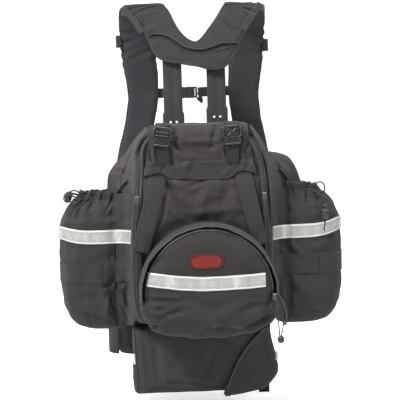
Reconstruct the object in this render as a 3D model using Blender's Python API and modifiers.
"""Fire line backpack: soft load-bearing pack with shoulder harness, hip belt, hooded main bag,
domed front pocket, two drawcord side pouches and a belt-level shelter pouch.
Frame: metres, +Z up, +X to the right seen from outside, outer face towards -Y, wearer on +Y.
Origin: centre of the flat body-side face of the lumbar pad.
All sizes below are millimetres; "front" is -Y, "left" is -X and "right" is +X."""
import bpy
import bmesh
import math
import numpy
from mathutils import Euler, Matrix, Vector

MM = 0.001
SIDES = ((-1, "left"), (1, "right"))
X_AXIS = (1, 0, 0)
Z_AXIS = (0, 0, 1)

# ---- webbing and tape shared by several sections ----
WEB20, WEB25, WEB26, WEB38, WEB50 = 20.0, 25.0, 26.0, 38.0, 50.0
WEB_T = 1.6
TAPE_W, TAPE_T = 26.0, 1.0

for old in list(bpy.data.objects):
    bpy.data.objects.remove(old, do_unlink=True)

PARTS = bpy.data.collections.new("fire_line_backpack")
CUTTERS = bpy.data.collections.new("cutters")
bpy.context.scene.collection.children.link(PARTS)
bpy.context.scene.collection.children.link(CUTTERS)


# ---------------------------------------------------------------- materials
def make_material(name, colour, roughness, metallic=0.0):
    material = bpy.data.materials.new("mat_" + name)
    material.use_nodes = True
    shader = material.node_tree.nodes["Principled BSDF"]
    shader.inputs["Base Color"].default_value = (*colour, 1.0)
    shader.inputs["Roughness"].default_value = roughness
    shader.inputs["Metallic"].default_value = metallic
    return material


BAG = make_material("bag", colour=(0.075, 0.066, 0.064), roughness=0.9)
POUCH = make_material("pouch", colour=(0.062, 0.061, 0.057), roughness=0.9)
SHELTER = make_material("shelter", colour=(0.052, 0.052, 0.051), roughness=0.9)
PAD = make_material("pad", colour=(0.045, 0.046, 0.050), roughness=0.9)
WEB = make_material("web", colour=(0.055, 0.055, 0.053), roughness=0.8)
TAPE = make_material("tape", colour=(0.60, 0.60, 0.57), roughness=0.4)
PLASTIC = make_material("plastic", colour=(0.012, 0.012, 0.013), roughness=0.3)
SHEET = make_material("sheet", colour=(0.03, 0.03, 0.03), roughness=0.5)
CORD = make_material("cord", colour=(0.02, 0.02, 0.02), roughness=0.7)
PATCH = make_material("patch", colour=(0.25, 0.05, 0.04), roughness=0.7)
ZIP = make_material("zip", colour=(0.03, 0.03, 0.03), roughness=0.35, metallic=0.6)


# ---------------------------------------------------------------- outlines and placing
def round_rect(half_x, half_y, radius, segments=3):
    """Outline of a rounded rectangle centred on zero."""
    x, y = half_x - radius, half_y - radius
    points = []
    for cx, cy, start in ((x, y, 0), (-x, y, 90), (-x, -y, 180), (x, -y, 270)):
        for i in range(segments + 1):
            angle = math.radians(start + 90 * i / segments)
            points.append((cx + radius * math.cos(angle), cy + radius * math.sin(angle)))
    return points


def slot(half_x, low, high):
    return [(-half_x, low), (half_x, low), (half_x, high), (-half_x, high)]


def mirrored(points):
    """Mirror image across the centre line, in reverse order."""
    return [(-x, y) for x, y in reversed(points)]


def symmetric_outline(right_half):
    """Closed outline from its right half, starting at the first point's mirror image."""
    left_half = mirrored(right_half)
    return left_half[-1:] + right_half + left_half[:-1]


def interpolate(table, z):
    """Value at z in a table of (z, value), held constant beyond its ends."""
    return float(numpy.interp(z, *zip(*table)))


def place(location, x_axis, y_axis, z_axis):
    """Matrix whose local axes are the three given world directions."""
    matrix = Matrix.Identity(4)
    for column, axis in enumerate((x_axis, y_axis, z_axis)):
        matrix.col[column] = (*Vector(axis).normalized(), 0.0)
    matrix.translation = Vector(location) * MM
    return matrix


def facing_front(x, y, z):
    """Local X right, local Y up, local Z towards the front."""
    return place((x, y, z), X_AXIS, Z_AXIS, (0, -1, 0))


# ---------------------------------------------------------------- solid builders
def add_object(name, data, material, collection=PARTS):
    ob = bpy.data.objects.new(name, data)
    collection.objects.link(ob)
    if material:
        data.materials.append(material)
    return ob


def add_mesh(name, bm, material, smooth=False, collection=PARTS):
    """Object from a bmesh, which is freed."""
    mesh = bpy.data.meshes.new(name)
    bm.to_mesh(mesh)
    bm.free()
    for polygon in mesh.polygons:
        polygon.use_smooth = smooth
    return add_object(name, mesh, material, collection)


def add_bevel(ob, width, segments=1, angle=40.0):
    modifier = ob.modifiers.new("Bevel", "BEVEL")
    modifier.width = width * MM
    modifier.segments = segments
    modifier.limit_method = "ANGLE"
    modifier.angle_limit = math.radians(angle)


def block_bmesh(size, centre=(0, 0, 0)):
    bm = bmesh.new()
    bmesh.ops.create_cube(bm, size=1.0)
    for vert in bm.verts:
        vert.co = Vector([c + unit * s for c, unit, s in zip(centre, vert.co, size)]) * MM
    return bm


def box(name, material, size, location, bevel, rotation=(0, 0, 0), segments=1):
    """Rectangular block with bevelled edges."""
    ob = add_mesh(name, block_bmesh(size), material)
    ob.location = Vector(location) * MM
    ob.rotation_euler = rotation
    add_bevel(ob, bevel, segments)


def sheet(name, material, rows, thickness, origin=(0, 0, 0), bevel=0.0):
    """Shell of even thickness about a grid of world points."""
    last_row, last_column = len(rows) - 1, len(rows[0]) - 1
    bm = bmesh.new()
    bmesh.ops.create_grid(bm, x_segments=last_row, y_segments=last_column, size=1.0)
    for vert in bm.verts:
        i = int(round((vert.co.x + 1) / 2 * last_row))
        j = int(round((vert.co.y + 1) / 2 * last_column))
        vert.co = (Vector(rows[i][j]) - Vector(origin)) * MM
    ob = add_mesh(name, bm, material, smooth=True)
    ob.location = Vector(origin) * MM
    solidify = ob.modifiers.new("Solidify", "SOLIDIFY")
    solidify.thickness = thickness * MM
    solidify.offset = 0.0
    solidify.use_even_offset = True
    if bevel:
        add_bevel(ob, bevel, angle=50.0)


def strip(name, material, path, width, thickness=WEB_T, across=X_AXIS):
    """Flat webbing along a path; width may be one number or one per point."""
    widths = width if isinstance(width, list) else [width] * len(path)
    rows = []
    for point, w in zip(path, widths):
        half = Vector(across) * (w / 2)
        rows.append([Vector(point) - half, Vector(point) + half])
    sheet(name, material, rows, thickness)


def loft(name, material, rings, smooth=True):
    """Closed solid through rings of equal point count; the two end rings are capped."""
    bm = bmesh.new()
    loops = [[bm.verts.new(Vector(point) * MM) for point in ring] for ring in rings]
    count = len(rings[0])
    for a, b in zip(loops, loops[1:]):
        for k in range(count):
            after = (k + 1) % count
            bm.faces.new((a[k], a[after], b[after], b[k]))
    bm.faces.new(loops[0][::-1])
    bm.faces.new(loops[-1])
    bmesh.ops.recalc_face_normals(bm, faces=bm.faces)
    return add_mesh(name, bm, material, smooth)


def plate(name, material, outline, thickness, matrix, holes=()):
    """Flat outline with holes in the local XY plane, thickened both ways."""
    curve = bpy.data.curves.new(name, "CURVE")
    curve.dimensions = "2D"
    curve.fill_mode = "BOTH"
    curve.extrude = thickness / 2 * MM
    for points in [outline, *holes]:
        spline = curve.splines.new("POLY")
        spline.points.add(len(points) - 1)
        for target, (x, y) in zip(spline.points, points):
            target.co = (x * MM, y * MM, 0.0, 1.0)
        spline.use_cyclic_u = True
    add_object(name, curve, material).matrix_world = matrix


def tube(name, material, path, radius):
    """Round cord along a path."""
    curve = bpy.data.curves.new(name, "CURVE")
    curve.dimensions = "3D"
    curve.bevel_depth = radius * MM
    curve.bevel_resolution = 1
    curve.use_fill_caps = True
    spline = curve.splines.new("POLY")
    spline.points.add(len(path) - 1)
    for target, point in zip(spline.points, path):
        target.co = (*(Vector(point) * MM), 1.0)
    add_object(name, curve, material)


def lathe(name, material, profile, location, rotation=(0, 0, 0)):
    """Solid turned about local Z from a profile of (radius, height)."""
    bm = bmesh.new()
    verts = [bm.verts.new((radius * MM, 0, z * MM)) for radius, z in profile]
    for a, b in zip(verts, verts[1:]):
        bm.edges.new((a, b))
    ob = add_mesh(name, bm, material)
    ob.location = Vector(location) * MM
    ob.rotation_euler = rotation
    screw = ob.modifiers.new("Screw", "SCREW")
    screw.axis = "Z"
    screw.steps = 12
    screw.render_steps = 12
    screw.use_merge_vertices = True
    screw.merge_threshold = 0.00005


def cut_window(target, size, centre, matrix):
    """Rectangular window cut through a part, in the part's own axes."""
    name = "%s_cut%d" % (target.name, len(target.modifiers))
    cutter = add_mesh(name, block_bmesh(size, centre), None, collection=CUTTERS)
    cutter.matrix_world = matrix
    cutter.hide_render = True
    cutter.display_type = "WIRE"
    cut = target.modifiers.new("Cut", "BOOLEAN")
    cut.operation = "DIFFERENCE"
    cut.solver = "EXACT"
    cut.object = cutter


# ---------------------------------------------------------------- side-release buckles
# A buckle size is (width, length of the hollow half, thickness).
BUCKLE_WALL_X, BUCKLE_WALL_Z = 3.0, 2.0


def female_buckle(name, size, matrix):
    """Hollow half: open at local y=0, webbing slot at the far end."""
    width, length, thickness = size
    half_w, half_t = width / 2, thickness / 2
    cavity_w, cavity_t = half_w - BUCKLE_WALL_X, half_t - BUCKLE_WALL_Z
    depth = length - 9
    # half width, half thickness, local y: outer skin to the mouth, then back inside
    stations = [
        (half_w - 2.5, half_t - 1, length), (half_w - 0.6, half_t, length - 3),
        (half_w, half_t, length * 0.5), (half_w - 1.2, half_t, 0),
        (cavity_w - 0.4, cavity_t, 0), (cavity_w, cavity_t, depth),
    ]
    rings = [[(x, y, z) for x, z in round_rect(hx, hz, min(hx, hz) * 0.45, 2)]
             for hx, hz, y in stations]
    ob = loft(name, PLASTIC, rings, smooth=False)
    ob.matrix_world = matrix
    side_window = (width + 6, depth * 0.45, cavity_t * 1.4)
    cut_window(ob, side_window, (0, depth * 0.58, 0), matrix)
    web_slot = (width - 10, 2.6, thickness + 6)
    cut_window(ob, web_slot, (0, length - 5.2, 0), matrix)


def male_buckle(name, size, matrix, base):
    """Pronged half: base plate below local y=0, two prongs and a guide reaching inside."""
    width, length, thickness = size
    half_w = width / 2
    cavity_w = half_w - BUCKLE_WALL_X
    clearance = 0.4
    tip = length - 11
    right_half = [
        (half_w - 1, -base), (half_w - 0.5, -clearance),
        # prong
        (cavity_w - 0.8, -clearance), (cavity_w - 0.8, tip - 3), (cavity_w - 2.2, tip),
        (cavity_w - 4.6, tip), (cavity_w - 4.8, 1.5),
        # centre guide
        (3.2, 1.5), (2.6, tip - 1.5),
    ]
    web_slot = slot(half_w - 4.5, -base + 2.4, -base + 5.4)
    prong_t = thickness - 2 * BUCKLE_WALL_Z - 0.9
    plate(name, PLASTIC, symmetric_outline(right_half), prong_t, matrix, [web_slot])


# ---------------------------------------------------------------- back and lumbar
LUMBAR_W, LUMBAR_H, LUMBAR_T = 216.0, 124.0, 24.0
FRAME_FRONT, FRAME_BACK = -28.2, -25.2
FRAME_HALF_W, FRAME_HALF_H, FRAME_CORNER, FRAME_CZ = 104, 248, 20, 148

YOKE_TILT = math.radians(17.7)
YOKE_T = 8.0
YOKE_Y, YOKE_Z = -17.5, 511     # lower edge line of the yoke's body-side face
# right half, (x, height) before tilting: lower edge inwards, then upper edge outwards
YOKE_LOWER = [(143, 637), (130, 620), (116, 603), (104, 583), (92, 563), (82, 545),
              (71, 530), (58, 522), (42, 518), (20, 516)]
YOKE_UPPER = [(11, 569), (21, 577), (30, 587), (37, 598), (44, 611), (52, 625), (63, 640)]

BACK_STRAP_X, BACK_STRAP_Y, BACK_STRAP_Z = 43, -22.0, 300
BACK_STRAP_T = 3.0
BACK_STRAP_LEAN = math.atan2(15.0, 245.0)
# (x, distance along the strap)
BACK_STRAP_OUTLINE = [
    (-17.5, 0), (17.5, 0), (17.5, 84), (20, 88), (20, 122), (17.5, 126),
    (17.5, 228), (-17.5, 228), (-17.5, 126), (-20, 122), (-20, 88), (-17.5, 84)]
PUNCH_X, PUNCH_ALONG, PUNCH_R = 6, 106, 2.1


def tilted(location, angle):
    """Local Y up and leaning towards +Y by the angle, local Z towards the front."""
    sin, cos = math.sin(angle), math.cos(angle)
    return place(location, X_AXIS, (0, sin, cos), (0, -cos, sin))


def build_back():
    box("lumbar_pad", PAD, (LUMBAR_W, LUMBAR_T, LUMBAR_H), (0, -LUMBAR_T / 2, 0),
        bevel=7, segments=2)
    outline = [(x, z + FRAME_CZ)
               for x, z in round_rect(FRAME_HALF_W, FRAME_HALF_H, FRAME_CORNER)]
    plate("frame_sheet", SHEET, outline, FRAME_BACK - FRAME_FRONT,
          facing_front(0, (FRAME_FRONT + FRAME_BACK) / 2, 0))


def build_yoke():
    """Pad joining the shoulders above the bag."""
    sin, cos = math.sin(YOKE_TILT), math.cos(YOKE_TILT)
    outline = (YOKE_LOWER + [(0, 516)] + mirrored(YOKE_LOWER)
               + mirrored(YOKE_UPPER) + [(0, 566)] + YOKE_UPPER)
    centre = (0, YOKE_Y - YOKE_T / 2 * cos, YOKE_Z + YOKE_T / 2 * sin)
    plate("yoke", PAD, [(x, (z - YOKE_Z) / cos) for x, z in outline], YOKE_T,
          tilted(centre, YOKE_TILT))


def build_back_strap(s, side):
    """Height-adjustment strap from frame sheet to yoke, wider and punched at the bag top."""
    holes = []
    for x in (-PUNCH_X, PUNCH_X):
        angles = [math.radians(degrees) for degrees in range(0, 360, 45)]
        holes.append([(x + PUNCH_R * math.cos(a), PUNCH_ALONG + PUNCH_R * math.sin(a))
                      for a in angles])
    matrix = tilted((s * BACK_STRAP_X, BACK_STRAP_Y, BACK_STRAP_Z), BACK_STRAP_LEAN)
    plate("back_strap_" + side, PAD, BACK_STRAP_OUTLINE, BACK_STRAP_T, matrix, holes)


# ---------------------------------------------------------------- shoulder harness
SHOULDER_T = 12.0
# x, y, z, width: from the yoke over the shoulder and down
SHOULDER_PATH = [
    (103, 28, 618, 82), (103, 44, 631, 82), (105, 70, 635, 82), (108, 100, 616, 80),
    (111, 124, 578, 78), (110, 138, 540, 73), (106, 146, 500, 67), (105, 149, 462, 64),
    (110, 147, 425, 62), (118, 141, 390, 60), (128, 134, 358, 58)]
LOCK_X = 131
# x, y, z: from the pad end to the bag's lower corner
LOWER_STRAP_PATH = [(LOCK_X, 140.4, 351), (LOCK_X, 140.4, 326), (131, 130, 285),
                    (130, 98, 205), (125, 40, 120), (119, -6, 72)]
STERNUM_Y, STERNUM_Z = 156.6, 468.0
STERNUM_BUCKLE_X = -13
STERNUM_BUCKLE = (25, 24, 8.4)


def build_shoulder(s, side):
    rows = [[(s * x + w * part, y, z) for part in (-1 / 2, -1 / 6, 1 / 6, 1 / 2)]
            for x, y, z, w in SHOULDER_PATH]
    sheet("shoulder_pad_" + side, PAD, rows, SHOULDER_T, bevel=3.5)
    strip("lower_shoulder_strap_" + side, WEB,
          [(s * x, y, z) for x, y, z in LOWER_STRAP_PATH], WEB25)
    plate("ladder_lock_" + side, PLASTIC, round_rect(17, 13, 3, 2), 3.6,
          facing_front(s * LOCK_X, 136.8, 339), [slot(13.2, 2, 6), slot(13.2, -6.5, -2.5)])


def build_sternum_strap():
    """Strap and buckle lying on the +Y face of the shoulder pads."""
    for side, stations in (("left", (-118, -80, -38)), ("right", (12.5, 80, 118))):
        strip("sternum_strap_" + side, WEB, [(x, STERNUM_Y, STERNUM_Z) for x in stations],
              WEB20, across=Z_AXIS)
    matrix = place((STERNUM_BUCKLE_X, STERNUM_Y, STERNUM_Z), Z_AXIS, (-1, 0, 0), (0, 1, 0))
    female_buckle("sternum_buckle_female", STERNUM_BUCKLE, matrix)
    male_buckle("sternum_buckle_male", STERNUM_BUCKLE, matrix, base=24)


# ---------------------------------------------------------------- hip belt
BELT_T = 12.0
BELT_WEB_Z = -26.5
BELT_WEB_OFFSET = 8.2       # from the right wing's mid-line to its webbing
BELT_WEB_END = 18           # straight end beyond the last station
BELT_BUCKLE = (60, 42, 14)
BELT_BUCKLE_BASE = 16
BELT_BUCKLE_GAP = 0.6
# (distance from the centre plane, y) along each wing's mid-line
WINGS = {
    "left": [(112.5, -12), (128, -10), (144, -5), (156, 8), (162, 32), (164, 62),
             (161, 95), (153, 130), (140, 160)],
    "right": [(112.5, -12), (119, -8), (126, 4), (130, 26), (132, 56), (132, 88),
              (128, 124), (121, 156)],
}
# (x, y) of the left webbing
LEFT_BELT_WEB = [(-165, 0), (-176, 12), (-184, 30), (-186, 52), (-182, 80), (-173, 112),
                 (-161, 142), (-148, 168)]
BELT_TAIL = [(121.5, 7, -53), (121.5, 6, -95), (121.5, 2, -136)]


def build_belt_wing(s, side):
    rows = []
    last = len(WINGS[side]) - 1
    for i, (x, y) in enumerate(WINGS[side]):
        f = i / last
        top, bottom = 40 - 22 * f * f, -50 + 4 * f * f
        rows.append([(s * x, y, z) for z in (bottom, (top + bottom) / 2, top)])
    sheet("hip_belt_" + side, PAD, rows, BELT_T, bevel=3.0)


def right_belt_web():
    """Right webbing (x, y): the wing's mid-line from its fourth station, set outwards."""
    wing = [Vector(point) for point in WINGS["right"]]
    path = []
    for i in range(3, len(wing)):
        along = (wing[min(i + 1, len(wing) - 1)] - wing[i - 1]).normalized()
        outward = Vector((along.y, -along.x))
        path.append(wing[i] + outward * BELT_WEB_OFFSET)
    return path


def build_belt_webbing(s, side):
    """Webbing outside a wing, with its half of the waist buckle at the end."""
    path = [Vector(point) for point in (LEFT_BELT_WEB if s < 0 else right_belt_web())]
    direction = (path[-1] - path[-2]).normalized()
    end = path[-1] + direction * BELT_WEB_END
    path.append(end)
    strip("belt_webbing_" + side, WEB, [(x, y, BELT_WEB_Z) for x, y in path],
          WEB50, across=Z_AXIS)

    reach = BELT_BUCKLE_BASE if s < 0 else BELT_BUCKLE[1]
    mouth = end + direction * (reach + BELT_BUCKLE_GAP)
    along = direction * -s
    matrix = place((mouth.x, mouth.y, BELT_WEB_Z), Z_AXIS, (along.x, along.y, 0),
                   (along.y, -along.x, 0))
    if s < 0:
        male_buckle("waist_buckle_male", BELT_BUCKLE, matrix, BELT_BUCKLE_BASE)
    else:
        female_buckle("waist_buckle_female", BELT_BUCKLE, matrix)


# ---------------------------------------------------------------- main bag
BAG_BACK, BAG_FRONT = -29.0, -165.0
BAG_FLOOR, BAG_WALL = 24.0, 3.0
BAG_CORNER = 10.0
# (height, half width)
BAG_HALF_W = [(BAG_FLOOR, 118), (32, 130), (48, 135), (80, 138), (160, 136), (260, 132),
              (310, 127), (345, 119), (368, 108), (382, 97), (388, 88)]
# (height, y of the front face)
BAG_FRONT_Y = [(BAG_FLOOR, -158), (32, BAG_FRONT), (368, BAG_FRONT), (382, -161), (388, -154)]

HOOD_FRONT = -169.6
HOOD_BACK_Z = 396.5
# y, z, half width: from the back over the top and down the front
HOOD_PATH = [
    (-38, HOOD_BACK_Z, 93), (-70, 398, 94), (-110, 398, 94), (-145, 396.5, 94),
    (-160, 391, 94), (-167.5, 382, 94), (HOOD_FRONT, 370, 95), (HOOD_FRONT, 345, 99),
    (HOOD_FRONT, 320, 103), (HOOD_FRONT, 298, 106)]
# (fraction of the half width, lift of the front edge), right half; two arches in all
HOOD_COLUMNS = [(0, 0), (0.3, 0), (0.56, 0), (0.66, 10), (0.75, 13), (0.84, 10), (0.9, 0), (1, 0)]

LID_STRAP_X = {"left": -68.0, "right": 62.0}
LID_BUCKLE = (34, 24, 9.6)
LID_BUCKLE_Y, LID_BUCKLE_Z = -176.8, 371.5
LID_STRAP_Y = -172.7
# (y, z) over the hood's front edge and back along its top
LID_ANCHOR_PATH = [(LID_BUCKLE_Y, 396.6), (-174, 400.3), (-165, 402.4), (-140, 402.6),
                   (-122, 402.6), (-105, 402.5)]
# x, z, width: down the bag front
COMPRESSION_PATH = [(78, 318, 32), (83, 285, 32), (89, 250, 32), (95.5, 205, 31),
                    (100, 160, 26)]
# (x, z) up the bag's front edge
ZIP_BAND_PATH = [(118, 36), (124, 60), (126.5, 90), (125, 150), (117, 310), (110, 340),
                 (99, 362), (90, 374)]


def bag_ring(z, inset):
    half_w = interpolate(BAG_HALF_W, z) - inset
    front, back = interpolate(BAG_FRONT_Y, z) + inset, BAG_BACK - inset
    outline = round_rect(half_w, (back - front) / 2, BAG_CORNER)
    return [(x, (front + back) / 2 + y, z) for x, y in outline]


def build_main_bag():
    """Bag open at the top: outer skin upwards, then the inside down to the floor."""
    heights = [z for z, _ in BAG_HALF_W]
    rings = [bag_ring(z, 0) for z in heights]
    rings += [bag_ring(max(z, BAG_FLOOR + BAG_WALL), BAG_WALL) for z in reversed(heights)]
    loft("main_bag", BAG, rings)


def build_hood():
    """Hood over the bag top, its front edge lifted into two arches over the wide straps."""
    columns = mirrored([(c, -lift) for c, lift in HOOD_COLUMNS[1:]])
    columns = [(c, -lift) for c, lift in columns] + HOOD_COLUMNS
    rows = [[(c * w, y, z) for c, _ in columns] for y, z, w in HOOD_PATH[:-1]]
    y, z, w = HOOD_PATH[-1]
    rows.append([(c * w, y, z + lift) for c, lift in columns])
    sheet("lid_hood", BAG, rows, 3.0, origin=(0, -36, HOOD_BACK_Z))


def build_lid_strap(side):
    """Narrow strap on the hood front, buckle above it, anchor webbing over the top."""
    x = LID_STRAP_X[side]
    strip("lid_strap_" + side, WEB, [(x, LID_STRAP_Y, 327), (x, LID_STRAP_Y, 358.4)], WEB26)
    matrix = facing_front(x, LID_BUCKLE_Y, LID_BUCKLE_Z)
    female_buckle("lid_buckle_female_" + side, LID_BUCKLE, matrix)
    male_buckle("lid_buckle_male_" + side, LID_BUCKLE, matrix, base=12)
    strip("lid_anchor_strap_" + side, WEB, [(x, y, z) for y, z in LID_ANCHOR_PATH], WEB26)


def build_bag_front(s, side):
    """Wide strap from under the hood, storm band along the front edge, and zip slider."""
    strip("compression_strap_" + side, WEB,
          [(s * x, BAG_FRONT - 1.4, z) for x, z, _ in COMPRESSION_PATH],
          [w for _, _, w in COMPRESSION_PATH])
    strip("zip_band_" + side, WEB, [(s * x, BAG_FRONT - 1.2, z) for x, z in ZIP_BAND_PATH],
          16.0, 1.5)
    box("zip_slider_" + side, ZIP, (9, 4.6, 15), (s * 119.5, BAG_FRONT - 4.9, 260),
        bevel=1.2, rotation=(0, math.radians(-2.86) * s, 0))


# ---------------------------------------------------------------- domed front pocket
POCKET_CX, POCKET_CZ = 9.0, 87.0        # sewn on a little to the right
POCKET_R, POCKET_FRONT_R = 127.0, 108.0
POCKET_BACK, POCKET_RIM, POCKET_FRONT = -167.8, -205.0, -240.0
# (x from the pocket centre, z), right half of the lower edge, outwards
POCKET_LOW = [(38, 8), (72, 14), (100, 24), (118, 40), (126, 60)]
FLAP_OFFSET, FLAP_T = 2.0, 2.0
POCKET_SLIDER_ANGLE = math.radians(-4.0)
POCKET_SLIDER_R = 119
# (radius, height): thin cord with a bulb at its lower end
PULL_PROFILE = [(0, 3), (1.2, 2.6), (1.6, 1.6), (1.6, -70), (2.6, -72), (4.8, -74.5),
                (6, -79), (4.8, -83.5), (2.4, -85.4), (0, -86)]
LABEL_X = 5


def build_front_pocket():
    arc = [math.radians(180.0 * i / 24) for i in range(25)]
    outline = [(POCKET_R * math.cos(a), POCKET_CZ + POCKET_R * math.sin(a)) for a in arc]
    outline += mirrored(POCKET_LOW) + [(0, 6)] + POCKET_LOW
    stations = ((POCKET_BACK, 1.0), (POCKET_RIM, 1.0), (POCKET_FRONT, POCKET_FRONT_R / POCKET_R))
    rings = [[(POCKET_CX + x * scale, y, POCKET_CZ + (z - POCKET_CZ) * scale)
              for x, z in outline] for y, scale in stations]
    loft("front_pocket", BAG, rings)


def build_pocket_flap():
    """Arched rain flap over the zipper, lying on the slope between rim and front."""
    slope = Vector((POCKET_FRONT_R - POCKET_R, POCKET_FRONT - POCKET_RIM)).normalized()
    outward = Vector((-slope.y, slope.x))
    start = Vector((POCKET_R, POCKET_RIM)) + outward * FLAP_OFFSET
    section = [start + slope * distance for distance in (0.5, 6.5, 13)]   # (radius, y)
    rows = []
    for i in range(29):
        angle = math.radians(-2 + 184.0 * i / 28)
        rows.append([(POCKET_CX + radius * math.cos(angle), y,
                      POCKET_CZ + radius * math.sin(angle)) for radius, y in section])
    sheet("pocket_zip_flap", BAG, rows, FLAP_T)


def build_pocket_slider():
    x = POCKET_CX + POCKET_SLIDER_R * math.cos(POCKET_SLIDER_ANGLE)
    z = POCKET_CZ + POCKET_SLIDER_R * math.sin(POCKET_SLIDER_ANGLE)
    box("pocket_zip_slider", ZIP, (8, 19, 12), (x, -238.5, z), bevel=1.5,
        rotation=(0, -POCKET_SLIDER_ANGLE, 0))
    lathe("pocket_pull_cord", CORD, PULL_PROFILE, (x, -250.0, z + 2))


def build_pocket_front():
    """Sagging reflective tape with a label patch above it."""
    path = [(x * 0.99 + LABEL_X, POCKET_FRONT - 1.8, 107 - 4 * math.cos(x / 104 * math.pi / 2))
            for x in (-100, -50, 0, 50, 100)]
    strip("front_tape", TAPE, path, TAPE_W, TAPE_T, across=Z_AXIS)
    plate("label_patch", PATCH, round_rect(31, 13, 6, 4), 1.2,
          facing_front(LABEL_X, POCKET_FRONT - 1.4, 148))


# ---------------------------------------------------------------- drawcord side pouches
POUCH_CX, POUCH_CY, POUCH_HX, POUCH_HY = 204.5, -77.0, 63.5, 53.0
POUCH_POWER = 3.6           # superellipse exponent of the plan shape
POUCH_POINTS = 24
# height, scale of the plan shape, shift towards the bag
POUCH_OUTER = [
    (12, .44, 26), (15, .60, 20), (25, .765, 13), (42, .886, 6.7), (62, .96, 2.5), (90, 1, 0),
    (160, 1, 0), (220, .98, 1.3), (236, .87, 8), (250, .76, 15), (262, .66, 21),
    (270, .585, 25.5), (280, .62, 23.5)]
POUCH_INNER = [
    (280, .56, 23.5), (270, .525, 25.5), (262, .60, 21), (250, .70, 15), (236, .81, 8),
    (220, .92, 1.3), (160, .945, 0), (90, .945, 0), (62, .905, 2.5), (43, .835, 6.7),
    (27, .71, 13), (18, .54, 20)]
CORD_R = 1.6
NECK_Z, NECK_SCALE, NECK_SHIFT = 262.5, .66, 21
# x, y, z of the cord from the neck to its lock
CORD_END = {
    "left": [(-206, -122, 265), (-224, -124, 270), (-240, -118, 275), (-249, -108, 276.5)],
    "right": [(208, -121, 264), (222, -132, 262), (232, -140, 254), (235, -142.5, 243.4)],
}
# the left lock is tipped over at the mouth, the right one hangs upright on the front
LOCK_TURN = {"left": (math.radians(62), 0, math.radians(12)), "right": (0, 0, 0)}
LOCK_DROP = 21.4            # from the cord end to the lock's centre
# (radius, height)
LOCK_PROFILE = [(0, -4), (3.6, -4), (3.6, 9.6), (7.2, 9.6), (8.4, 6), (8.4, -6),
                (6.8, -9.4), (0, -10)]
BUTTON_PROFILE = [(0, 18), (4.4, 18), (5.4, 16.6), (5.4, 13.9), (3.1, 13.6), (3.1, -0.2),
                  (0, -0.4)]
# (x, z), right side
SIDE_WING = [(135, 258), (160, 256), (184, 262), (196, 282), (190, 306), (176, 328),
             (156, 339), (136, 340), (134.5, 300)]


def pouch_point(s, half_x, half_y, angle, z, shift=0.0):
    """Point on a superellipse about the pouch axis, shifted towards the bag."""
    cos, sin = math.cos(angle), math.sin(angle)
    x = half_x * math.copysign(abs(cos) ** (2 / POUCH_POWER), cos)
    y = half_y * math.copysign(abs(sin) ** (2 / POUCH_POWER), sin)
    return (s * (POUCH_CX - shift + x), POUCH_CY + y, z)


def build_side_pouch(s, side):
    angles = [2 * math.pi * i / POUCH_POINTS for i in range(POUCH_POINTS)]
    rings = [[pouch_point(s, POUCH_HX * scale, POUCH_HY * scale, a, z, shift) for a in angles]
             for z, scale, shift in POUCH_OUTER + POUCH_INNER]
    loft("side_pouch_" + side, POUCH, rings)


def wrap_pouch(name, material, s, z, rise, width, offset, thickness):
    """Band round the front and outer side of a pouch, rising towards its back end."""
    path = []
    for i in range(19):
        f = i / 18
        path.append(pouch_point(s, POUCH_HX + offset, POUCH_HY + offset,
                                math.radians(-155 + 190 * f), z + rise * f * f))
    strip(name, material, path, width, thickness, across=Z_AXIS)


def build_drawcord(s, side):
    """Cord round the gathered neck and out to its cord lock."""
    path = [pouch_point(s, POUCH_HX * NECK_SCALE + 3.6, POUCH_HY * NECK_SCALE + 3.4,
                        math.radians(-45 + 295 * i / 12), NECK_Z, NECK_SHIFT)
            for i in range(13)]
    path += CORD_END[side]
    tube("drawcord_" + side, CORD, path, CORD_R)
    turn = LOCK_TURN[side]
    centre = Vector(path[-1]) + Euler(turn).to_matrix() @ Vector((0, 0, -LOCK_DROP))
    lathe("cord_lock_" + side, PLASTIC, LOCK_PROFILE, centre, turn)
    lathe("cord_lock_button_" + side, PLASTIC, BUTTON_PROFILE, centre, turn)


def build_side_wing(s, side):
    """Flat wing sewn to the bag side, behind the pouch mouth."""
    outline = SIDE_WING if s > 0 else mirrored(SIDE_WING)
    plate("side_wing_" + side, BAG, outline, 4.0, facing_front(0, -34, 0))


# ---------------------------------------------------------------- shelter pouch
SHELTER_CY, SHELTER_CZ = -84.0, -46.0
SHELTER_HY, SHELTER_HZ, SHELTER_CORNER = 54.0, 66.0, 16
SHELTER_WALL = 3
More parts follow.
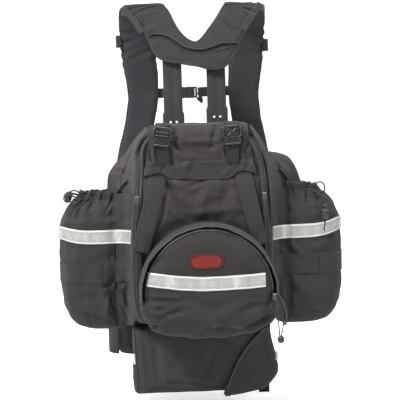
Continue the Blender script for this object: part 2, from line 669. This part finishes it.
# x, scale, inset: outer skin from the closed left end to the open right end, then back inside
SHELTER_STATIONS = [
    (-137, .84, 0), (-134, .94, 0), (-126, 1, 0), (0, 1, 0), (138, 1, 0),
    (138, 1, SHELTER_WALL), (0, 1, SHELTER_WALL), (-124, 1, SHELTER_WALL),
    (-132, .88, SHELTER_WALL)]
FLAP_SIDE_X, FLAP_FRONT_Y, FLAP_FOLD_X = 141.2, -141.0, 131
# (x, y) round the right end to the fold
FLAP_WRAP = [(FLAP_SIDE_X, -36), (FLAP_SIDE_X, -80), (FLAP_SIDE_X, -125),
             (FLAP_SIDE_X, FLAP_FRONT_Y), (FLAP_FOLD_X, FLAP_FRONT_Y)]
# (z, x of the slanted free edge)
FLAP_EDGE = [(9, 125), (-3, 118), (-24, 98), (-48, 82), (-78, 68), (-106, 60)]


def build_shelter_pouch():
    rings = []
    for x, scale, inset in SHELTER_STATIONS:
        outline = round_rect(SHELTER_HY * scale - inset, SHELTER_HZ * scale - inset,
                             SHELTER_CORNER * scale)
        rings.append([(x, SHELTER_CY + y, SHELTER_CZ + z) for y, z in outline])
    loft("shelter_pouch", SHELTER, rings)


def build_shelter_flap():
    """Flap over the open right end, folded round onto the front."""
    rows = [[(x, y, z) for z, _ in FLAP_EDGE] for x, y in FLAP_WRAP]
    for f in (0.5, 1.0):
        rows.append([(FLAP_FOLD_X + (free_x - FLAP_FOLD_X) * f, FLAP_FRONT_Y, z)
                     for z, free_x in FLAP_EDGE])
    sheet("shelter_flap", SHELTER, rows, 2.4, origin=(FLAP_SIDE_X, -34, -55))


# ---------------------------------------------------------------- assembly
build_back()
build_yoke()
build_sternum_strap()
strip("belt_tail", WEB, BELT_TAIL, 22.0)
build_main_bag()
build_hood()
build_front_pocket()
build_pocket_flap()
build_pocket_slider()
build_pocket_front()
build_shelter_pouch()
build_shelter_flap()
for s, side in SIDES:
    build_back_strap(s, side)
    build_shoulder(s, side)
    build_belt_wing(s, side)
    build_belt_webbing(s, side)
    build_lid_strap(side)
    build_bag_front(s, side)
    build_side_pouch(s, side)
    wrap_pouch("side_tape_" + side, TAPE, s, z=191, rise=12, width=TAPE_W, offset=2.0,
               thickness=TAPE_T)
    wrap_pouch("side_webbing_" + side, WEB, s, z=124, rise=3, width=WEB38, offset=2.4,
               thickness=WEB_T)
    build_drawcord(s, side)
    build_side_wing(s, side)
